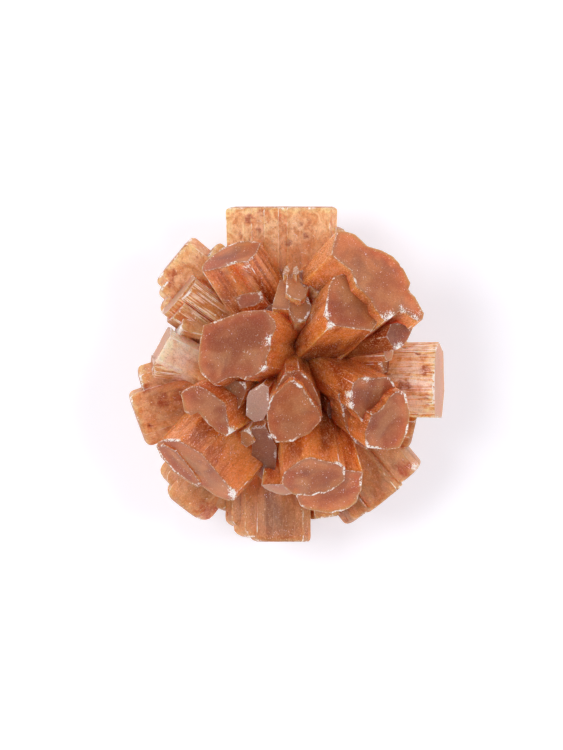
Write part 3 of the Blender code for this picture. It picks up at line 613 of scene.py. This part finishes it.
# Knocks and inclusions, by their place in plan and their reach, in mm: corners crushed to white grit,
# rims that stayed whole, and red-brown stains of iron oxide under the surface.
CRUSHED = [
    (-3.3, 0.7, 0.9), (-3.0, 5.0, 1.0), (-4.0, 7.6, 0.7), (-8.1, -8.2, 0.9), (-8.1, -17.9, 1.1),
    (-16.4, 6.4, 1.3), (9.0, -3.0, 1.1), (9.3, -4.6, 0.9), (11.8, -0.6, 0.8), (15.3, 8.7, 1.0),
    (17.3, 9.6, 0.7), (19.3, 9.4, 0.9), (16.6, 3.8, 1.2), (19.0, -13.6, 1.1), (6.3, 7.0, 1.0),
    (6.0, 8.8, 0.7), (-6.0, 15.9, 0.9), (-2.4, -9.2, 0.6)]
WHOLE = [(-13.2, -5.8, 2.2), (12.0, 12.0, 2.6), (-14.0, 2.0, 3.0), (3.0, -9.6, 2.4), (19.0, 14.0, 3.0)]
STAINED = [
    (-5.6, 23.4, 1.2), (-3.7, 24.4, 1.0), (-4.2, 21.6, 0.8), (2.9, 20.8, 0.9), (0.3, 19.7, 0.9),
    (2.0, 22.6, 0.8), (-6.0, 15.4, 1.3), (-21.0, -2.2, 1.4), (-18.8, -4.0, 2.2), (-16.0, -3.2, 1.8),
    (17.4, -14.2, 2.0), (-17.2, 15.0, 1.4), (-17.4, 13.4, 1.1), (-14.2, 14.0, 0.7), (-12.0, -20.6, 2.6),
    (17.6, -1.6, 1.6), (20.6, 0.6, 1.3), (-9.0, 15.4, 1.4)]


CRUSH_REACH = (1.8, 1.2)         # a corner is crushed fully up to 0.7 mm from the rim, and not past 1.5 mm


def nearness(plan, spots):
    """How near each point is, in plan, to the nearest of the spots: 1 at its middle, 0 out of its reach."""
    found = np.zeros(len(plan))
    for x, y, reach in spots:
        away = np.linalg.norm(plan - (x, y), axis=1)
        found = np.maximum(found, np.clip(1.0 - away / reach, 0.0, 1.0))
    return found


index = np.empty(len(mesh.loops), dtype=np.int32)
mesh.loops.foreach_get("vertex_index", index)
spots = np.empty(len(mesh.vertices) * 3, dtype=np.float32)
mesh.vertices.foreach_get("co", spots)
plan = spots.reshape(-1, 3)[:, :2] / MM
gap = np.empty(len(index), dtype=np.float32)
mesh.attributes["gap"].data.foreach_get("value", gap)
crush = nearness(plan, CRUSHED)[index] * np.clip(CRUSH_REACH[0] - CRUSH_REACH[1] * gap, 0.0, 1.0)
crush -= nearness(plan, WHOLE)[index]
for name, values in (("crush", crush), ("stain", nearness(plan, STAINED)[index])):
    mesh.attributes.new(name, "FLOAT", "CORNER").data.foreach_set("value", values)

low = Vector([min(c[k] for c in corners_seen) for k in range(3)]) * MM
high = Vector([max(c[k] for c in corners_seen) for k in range(3)]) * MM
cad_low, cad_high = (Vector(c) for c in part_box("aragonite_cluster"))
shift = (cad_low + cad_high - low - high) / 2
shift.z = cad_low.z - low.z
mesh.transform(Matrix.Translation(shift))
mesh.shade_smooth()
mesh.set_sharp_from_angle(angle=SHARP_ANGLE)
mesh.name = "aragonite_crystals"
cluster = bpy.data.objects.new("aragonite_crystals", mesh)
bpy.context.scene.collection.objects.link(cluster)
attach(cluster, "root")
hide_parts("aragonite_cluster")

# Aragonite as it grew, cloudy and stained by iron: light sinks into it and comes back orange-brown, so
# that thin ends glow and deep clefts are dark. The ends are matt, the striated sides have a soft gloss,
# and crystal that was crushed scatters all light and looks white.
aragonite = bpy.data.materials.new("cloudy_iron_stained_aragonite")
aragonite.use_nodes = True
tree = aragonite.node_tree
shader = tree.nodes["Principled BSDF"]
smooth = {"interpolation_type": 'SMOOTHSTEP'}
times = {"operation": 'MULTIPLY'}
times_plus = {"operation": 'MULTIPLY_ADD'}
greater = {"operation": 'MAXIMUM'}


def linear(code):
    """The linear colour of an sRGB hex code."""
    parts = [int(code[k:k + 2], 16) / 255.0 for k in (1, 3, 5)]
    return [c / 12.92 if c <= 0.04045 else ((c + 0.055) / 1.055) ** 2.4 for c in parts] + [1.0]


def add(kind, sockets=None, out=0, **settings):
    """Adds a node, sets and links its sockets, and gives back one of its outputs."""
    made = tree.nodes.new("ShaderNode" + kind)
    for name, value in settings.items():
        setattr(made, name, value)
    for name, value in (sockets or {}).items():
        if isinstance(value, bpy.types.NodeSocket):
            tree.links.new(value, made.inputs[name])
        else:
            made.inputs[name].default_value = value
    return made.outputs[out]


EVERYWHERE = (1.0, 0.0, 1.0)     # in place of a pattern, where a layer has only its mask


def painted(colour, *layers):
    """The colour under others: each comes in where a pattern runs from one value to another, in a mask."""
    for pattern, start, full, most, mask, over in layers:
        much = add("MapRange", {0: pattern, 1: start, 2: full, 4: most}, **smooth)
        much = add("Math", {0: much, 1: mask}, **times)
        over = linear(over) if isinstance(over, str) else over
        colour = add("Mix", {0: much, 6: colour, 7: over}, out=2, data_type='RGBA')
    return colour


def product(first, *factors):
    """All the values multiplied."""
    for factor in factors:
        first = add("Math", {0: first, 1: factor}, **times)
    return first


# the marks that the mesh carries, and the place of each point within its own crystal, in mm
mark = {name: add("Attribute", out="Fac", attribute_name=name)
        for name in ("end", "chip", "gap", "pit", "ridge", "crush", "stain", *PLAIN_FINISH)}
end, gap, streak, dusk, pale = mark["end"], mark["gap"], mark["streak"], mark["dusk"], mark["pale"]
grain = add("Attribute", out="Vector", attribute_name="grain")
deep = add("SeparateXYZ", {0: grain}, out="Z")
middle = CORE * MM + shift
core = add("VectorMath", {0: add("TexCoord", out="Object"), 1: middle}, out="Value", operation='DISTANCE')
far_drawn = add("Mapping", {"Vector": grain, "Scale": (1.0, 1.0, 0.07)})     # 14 times as long as wide
drawn = add("Mapping", {"Vector": grain, "Scale": (1.0, 1.0, 0.4)})
little_drawn = add("Mapping", {"Vector": grain, "Scale": (1.0, 1.0, 0.7)})

# Patterns in the crystal, by the size in mm of their largest waves. The real grit and sparkle are of
# 0.05 mm and less: they are drawn three to five times as coarse, because the render can't show them.
cloud = {}
for name, place, size, detail, roughness, warp in (
        ("bands", far_drawn, 1.25, 2.0, 0.5, 0.3),       # growth bands along the axis
        ("lines", far_drawn, 0.294, 2.0, 0.5, 0.0),      # striations
        # the glow pattern paints lighter patches: painted glow of light from inside the stone
        ("glow", drawn, 3.333, 2.0, 0.5, 0.5),           # where the light gets in deepest
        ("clouds", grain, 5.0, 2.0, 0.5, 0.5),
        ("haze", grain, 4.167, 3.0, 0.5, 0.8),
        ("patches", grain, 4.545, 2.0, 0.5, 0.4),
        ("wisps", grain, 1.818, 4.0, 0.6, 1.2),          # milky veils
        ("mottle", grain, 0.769, 4.0, 0.62, 0.0),
        ("grit", little_drawn, 0.238, 3.0, 0.7, 0.3),
        ("sparkle", grain, 0.167, 3.0, 0.7, 0.0),
        ("battered", grain, 3.333, 2.0, 0.5, 0.0),       # stretches of rim that took more knocks
        ("crumbly", grain, 0.278, 3.0, 0.75, 0.0),
        ("dots", drawn, 0.714, 3.0, 0.7, 0.0),
        ("dusty", grain, 2.222, 2.0, 0.5, 0.0),          # where crumbs lie more thickly
        ("bend", grain, 0.833, 2.0, 0.55, 0.0),
        ("kink", grain, 0.333, 2.0, 0.55, 0.0)):
    cloud[name] = add("TexNoise", {"Vector": place, "Scale": 1.0 / size, "Detail": detail,
                                   "Roughness": roughness, "Distortion": warp})
bands, lines, glow, clouds = cloud["bands"], cloud["lines"], cloud["glow"], cloud["clouds"]
wisps, mottle, grit, sparkle = cloud["wisps"], cloud["mottle"], cloud["grit"], cloud["sparkle"]
bent = add("VectorMath", {0: drawn, 1: cloud["bend"]}, operation='ADD')
kinked = add("VectorMath", {0: grain, 1: cloud["kink"]}, operation='ADD')

# broken crystal: cells with flat, angular tones
cell = {}
for name, place, size, channel in (("shards", bent, 0.385, "X"), ("splinters", grain, 0.238, "Y"),
                                   ("flakes", kinked, 0.167, "Z")):
    colour = add("TexVoronoi", {"Vector": place, "Scale": 1.0 / size}, out="Color")
    cell[name] = add("SeparateXYZ", {0: colour}, out=channel)

# stains: faint everywhere, and strong in the spots that are set for them
faint = add("MapRange", {0: mottle, 1: 0.52, 2: 0.66, 4: 0.35}, **smooth)
faint = product(faint, add("MapRange", {0: clouds, 1: 0.44, 2: 0.60}, **smooth))
blot = add("Math", {0: mottle, 1: 2.4, 2: mark["stain"]}, **times_plus)
blot = add("Math", {0: grit, 1: 1.4, 2: blot}, **times_plus)
blot = add("MapRange", {0: blot, 1: 2.0, 2: 2.9}, **smooth)
blot = product(blot, add("MapRange", {0: mark["stain"], 1: 0.0, 2: 0.45}, **smooth))
stain = add("Math", {0: faint, 1: blot}, **greater)

# Sides of the upper crystals: honey orange, painted lighter near the end as a glow of light through the
# stone, and deeper in colour towards the core.
# The columns are: pattern, its value where the colour starts, and where it is full, how much, mask, colour.
mottled = add("MapRange", {0: mottle, 1: 0.46, 2: 0.60}, **smooth)
side = painted(
    linear("#A44A10"),
    # lighter orange patches: painted glow of light from inside the stone
    (glow, 0.34, 0.62, 1.0, 1.0, "#E48C42"),
    (wisps, 0.52, 0.70, 0.5, 1.0, "#E0A484"),
    # lighter near the end: painted glow of light through the thin end
    (gap, 3.5, 0.5, 0.35, 1.0, "#D08A56"),
    (bands, 0.50, 0.62, 1.0, streak, "#8E3A0A"),
    (bands, 0.47, 0.38, 1.0, streak, "#EBA870"),
    (lines, 0.56, 0.72, 0.5, streak, "#F2C498"),
    (gap, 0.4, 0.0, 0.45, 1.0, "#8E4418"),
    (core, 0.016, 0.004, 0.7, 1.0, "#A03A08"),
    # mottled, very dark patches nearest the core: painted shade of the deep clefts, with iron stain there too
    (core, 0.013, 0.007, 0.75, mottled, "#4A1808"),
    (*EVERYWHERE, 0.5, stain, "#7C2A0A"))

# Sides of the outer crystals: tan and clearer at the end, with red-brown stains. Some have a painted
# highlight near the end, a pale strip drawn because the flat facet that mirrors the light is too fine.
painted_highlight = add("MapRange", {0: lines, 1: 0.44, 2: 0.60, 4: 0.7}, **smooth)
painted_highlight = add("Math", {0: mark["glare"], 1: 1.2, 2: painted_highlight}, **times_plus)
painted_highlight = product(add("MapRange", {0: painted_highlight, 1: 0.65, 2: 1.2}, **smooth),
                add("MapRange", {0: mark["glare"], 1: 0.0, 2: 0.3}, **smooth),
                add("MapRange", {0: deep, 1: 7.0, 2: 4.5}, **smooth),
                add("MapRange", {0: wisps, 1: 0.34, 2: 0.62, 3: 0.6}, **smooth))
# lighter patches on the outer crystals: painted glow of light from inside the stone
olive = painted(linear("#985E2E"), (glow, 0.36, 0.62, 1.0, 1.0, "#C48C58"))
straw = painted(linear("#DC9A5E"), (wisps, 0.36, 0.64, 1.0, 1.0, "#FBDCB2"))
outer_side = painted(
    olive,
    (*EVERYWHERE, 1.0, mark["tint"], straw),
    (bands, 0.50, 0.60, 1.0, streak, "#C87838"),
    (lines, 0.56, 0.70, 1.0, streak, "#FFF0DC"),
    # painted highlight: the pale strip of gloss near the end
    (*EVERYWHERE, 1.0, painted_highlight, "#FFEEE6"),
    (deep, 2.0, 10.0, 0.85, 1.0, side),
    (*EVERYWHERE, 0.9, stain, "#A84810"))

# End faces: matt and cloudy, brown with dusky and with paler patches.
dark_face = painted(linear("#8A4014"), (clouds, 0.38, 0.62, 1.0, 1.0, "#A0582A"))
light_face = painted(linear("#AA5622"), (clouds, 0.38, 0.62, 1.0, 1.0, "#C27842"))
face = painted(
    dark_face,
    (*EVERYWHERE, 1.0, mark["tint"], light_face),
    (cloud["haze"], 0.50, 0.70, 0.5, 1.0, "#7C4432"),
    (cloud["patches"], 0.48, 0.66, 0.4, 1.0, "#C89468"),
    (gap, 0.9, 0.0, 0.5, 1.0, "#8A563C"),
    # a pale pinkish veil on some ends: painted reflection of the white surroundings
    (*EVERYWHERE, 0.9, mark["lilac"], "#D0A49A"),
    # paler ends on the outer crystals: paler stone, also painted lighter for the light through them
    (*EVERYWHERE, 0.5, pale, "#C8946C"))

# All surfaces: painted shade in the clefts, pits, and grit that is coarse on the sides and fine on the ends.
end_or_chip = add("Math", {0: end, 1: mark["chip"]}, **greater)
coarse = add("Math", {0: end, 1: -0.75, 2: 1.0}, **times_plus)
coarse_shade = product(coarse, add("Math", {0: pale, 1: -0.4, 2: 1.0}, **times_plus))
tone = painted(
    side,
    (*EVERYWHERE, 1.0, pale, outer_side),
    (*EVERYWHERE, 1.0, end_or_chip, face),
    # painted shade: darker where a crystal lies deep in a cleft
    (*EVERYWHERE, 0.7, dusk, "#6C2C12"),
    (*EVERYWHERE, 1.0, mark["pit"], "#8A3C18"),
    (grit, 0.46, 0.34, 0.40, coarse_shade, "#6E2806"),
    (grit, 0.56, 0.66, 0.60, coarse_shade, "#F8CFA8"),
    (cell["shards"], 0.40, 0.0, 0.12, coarse_shade, "#6E2406"),
    (cell["shards"], 0.66, 1.0, 0.14, coarse, "#F6C698"),
    (sparkle, 0.56, 0.30, 0.26, 1.0, "#6A2C10"),
    (sparkle, 0.56, 0.74, 0.24, 1.0, "#F0C8A4"))
tone = add("Mix", {0: 1.0, 6: tone, 7: linear("#FFF7EC")}, out=2, data_type='RGBA', blend_type='MULTIPLY')

# Crushed crystal, white. Along the rims it is a broken line 0.06 to 0.5 mm wide.
crumbly = cloud["crumbly"]
# crumbs and white rims are painted dimmer where a crystal has painted shade
lit = add("Math", {0: dusk, 1: -0.6, 2: 1.0}, **times_plus)
battered = add("MapRange", {0: cloud["battered"], 1: 0.50, 2: 0.64}, **smooth)
wide = add("Math", {0: product(battered, crumbly), 1: 0.50, 2: 0.065}, **times_plus)
near = add("Math", {0: gap, 1: wide}, operation='DIVIDE')
broken = add("Math", {0: battered, 1: 0.35, 2: cell["splinters"]}, **times_plus)
rims = product(add("MapRange", {0: near, 1: 1.3, 2: 0.7}, **smooth),
               add("Math", {0: battered, 1: 0.6, 2: 0.4}, **times_plus),
               add("MapRange", {0: broken, 1: 0.56, 2: 0.62}, **smooth),
               lit,
               add("MapRange", {0: mark["crush"], 1: -0.5, 2: 0.0}, **smooth),
               add("MapRange", {0: crumbly, 1: 0.40, 2: 0.54, 3: 0.35}, **smooth))

# Down the sharp ridges it is a dotted line that fades out 6 mm from the end.
not_end = add("Math", {0: 1.0, 1: end}, operation='SUBTRACT')
ridges = product(add("MapRange", {0: mark["ridge"], 1: 0.55, 2: 0.80, 4: 0.9}, **smooth),
                 add("MapRange", {0: cloud["dots"], 1: 0.47, 2: 0.58}, **smooth),
                 add("MapRange", {0: deep, 1: 6.0, 2: 2.0}, **smooth),
                 not_end)

# On the crushed corners it is a patch of loose flakes.
flakes = add("Math", {0: crumbly, 1: 0.9, 2: product(cell["flakes"], 0.8)}, **times_plus)
flakes = add("Math", {0: mark["crush"], 1: 1.1, 2: flakes}, **times_plus)
corners = product(add("MapRange", {0: flakes, 1: 1.32, 2: 1.40}, **smooth),
                  add("MapRange", {0: mark["crush"], 1: 0.02, 2: 0.15, 4: 0.9}, **smooth))

# Crumbs lie everywhere, each in a cell of its own. Most are finer than they can be shown here.
thick = add("MapRange", {0: cloud["dusty"], 1: 0.40, 2: 0.64, 3: 0.45}, **smooth)
crumbs = 0.0
for size, widest, bare in ((1.111, 0.22, 0.40), (0.588, 0.27, 0.30), (0.333, 0.34, 0.30)):
    away = add("TexVoronoi", {"Vector": kinked, "Scale": 1.0 / size}, out="Distance", distance='MANHATTAN')
    luck = add("SeparateXYZ", {0: away.node.outputs["Color"]}, out="X")
    radius = product(add("MapRange", {0: luck, 1: bare, 2: 1.0, 4: widest}, **smooth), thick)
    past = add("Math", {0: away, 1: radius}, operation='SUBTRACT')
    crumbs = add("Math", {0: crumbs, 1: add("MapRange", {0: past, 1: 0.0, 2: -0.03}, **smooth)}, **greater)
white = product(crumbs, lit, 0.9)
for part in (rims, ridges, corners):
    white = add("Math", {0: white, 1: part}, **greater)
tone = painted(tone, (*EVERYWHERE, 1.0, white, "#FCF4EE"))
tree.links.new(tone, shader.inputs["Base Color"])

# Calcium carbonate has an index of about 1.6. The sides are satin, the ends matt and a little uneven.
shader.inputs["IOR"].default_value = 1.6
shader.inputs["Specular IOR Level"].default_value = 0.35
satin = add("MapRange", {0: sparkle, 1: 0.40, 2: 0.65, 3: 0.12, 4: 0.26}, **smooth)
dulled = product(pale, add("MapRange", {0: mark["glare"], 1: 0.0, 2: 0.4, 3: 1.0, 4: 0.0}, **smooth))
satin = add("Math", {0: dulled, 1: 0.24, 2: satin}, **times_plus)
matt = add("MapRange", {0: sparkle, 1: 0.30, 2: 0.70, 3: 0.40, 4: 0.60}, **smooth)
tree.links.new(add("Mix", {0: end_or_chip, 2: satin, 3: matt}, data_type='FLOAT'), shader.inputs["Roughness"])

# Light runs up to 9 mm through the stone, red the furthest. Less of it leaves at the rims and the white.
shader.inputs["Subsurface Radius"].default_value = (1.0, 0.42, 0.20)
shader.inputs["Subsurface Scale"].default_value = 9.0 * MM
inside = add("MapRange", {0: gap, 1: 1.0, 2: 0.1, 3: 0.9, 4: 0.45}, **smooth)
inside = add("Math", {0: white, 1: -0.4, 2: inside}, **times_plus)
tree.links.new(inside, shader.inputs["Subsurface Weight"])

# Relief of up to 0.12 mm: striations, grit, and crumbs that stand proud.
relief = add("Math", {0: grit, 1: 0.4, 2: product(cell["shards"], 0.2)}, **times_plus)
relief = add("Math", {0: relief, 1: coarse, 2: product(lines, streak, not_end)}, **times_plus)
relief = add("Math", {0: sparkle, 1: 0.25, 2: relief}, **times_plus)
relief = add("Math", {0: white, 1: 0.25, 2: relief}, **times_plus)
bump = add("Bump", {"Strength": 0.6, "Distance": 0.12 * MM, "Height": relief})
tree.links.new(bump, shader.inputs["Normal"])
cluster.data.materials.clear()
cluster.data.materials.append(aragonite)

# === The floor ================================================================================
# A sheet of white acrylic, lit from below so that shadows on it stay pale. It is much wider than the
# view, and the cluster stands on it loose.
FLOOR_HALF = 3.0                 # metres from its middle to a side

floor_mesh = bpy.data.meshes.new("floor")
floor_corners = [(x * FLOOR_HALF, y * FLOOR_HALF, 0.0) for x, y in ((-1, -1), (1, -1), (1, 1), (-1, 1))]
floor_mesh.from_pydata(floor_corners, [], [(0, 1, 2, 3)])
floor = bpy.data.objects.new("floor", floor_mesh)
scene = bpy.context.scene
scene.collection.objects.link(floor)

# White acrylic, cast with a matt face: it gives an even, cool white with hardly any gloss.
acrylic = bpy.data.materials.new("lit_white_acrylic")
acrylic.use_nodes = True
sheet = acrylic.node_tree.nodes["Principled BSDF"]
sheet.inputs["Base Color"].default_value = linear("#F6F6FB")
sheet.inputs["Roughness"].default_value = 0.9
sheet.inputs["Specular IOR Level"].default_value = 0.2
sheet.inputs["Emission Color"].default_value = linear("#F2F4FF")
sheet.inputs["Emission Strength"].default_value = 0.25
floor_mesh.materials.append(acrylic)

# === The light ================================================================================
# A tent of white cloth that is dimmer overhead, where the camera looks through it, and two softboxes:
# the key on the left and a weaker fill on the right.
scene.view_settings.view_transform = 'Standard'
world = bpy.data.worlds.new("light_tent")
scene.world = world
world.use_nodes = True
tree = world.node_tree           # from here on, add and painted work on the tent's nodes
height = add("SeparateXYZ", {0: add("TexCoord", out="Generated")}, out="Z")
cloth = painted(linear("#FFFFFF"), (height, 0.45, 0.80, 1.0, 1.0, "#707074"))
tree.links.new(cloth, tree.nodes["Background"].inputs["Color"])
tree.nodes["Background"].inputs["Strength"].default_value = 1.2

for name, spot, size, power in (("key_softbox", (-0.46, 0.10, 1.18), 0.4, 5.0),
                                ("fill_softbox", (0.56, 0.06, 1.13), 0.3, 2.5)):
    light = bpy.data.lights.new(name, 'AREA')
    light.size = size
    light.energy = power
    lamp = bpy.data.objects.new(name, light)
    lamp.location = spot
    lamp.rotation_euler = (-Vector(spot)).to_track_quat('-Z', 'Y').to_euler()
    scene.collection.objects.link(lamp)

# === The camera ===============================================================================
# It looks straight down on the cluster, with a long lens and from far enough away that the sides of the
# outer crystals don't spread out.
CAMERA_HEIGHT = 1.3              # metres above the point that it looks at
LOOKED_AT = (-0.000675, -0.000225, 0.0215)
SEEN_HEIGHT = 0.1125             # metres that the frame's height takes in at that distance
SENSOR = 36.0

camera_data = bpy.data.cameras.new("camera")
camera_data.sensor_width = SENSOR
camera_data.lens = SENSOR * CAMERA_HEIGHT / SEEN_HEIGHT
camera_data.clip_start = 0.05
camera = bpy.data.objects.new("camera", camera_data)
camera.location = (LOOKED_AT[0], LOOKED_AT[1], LOOKED_AT[2] + CAMERA_HEIGHT)
scene.collection.objects.link(camera)
scene.camera = camera
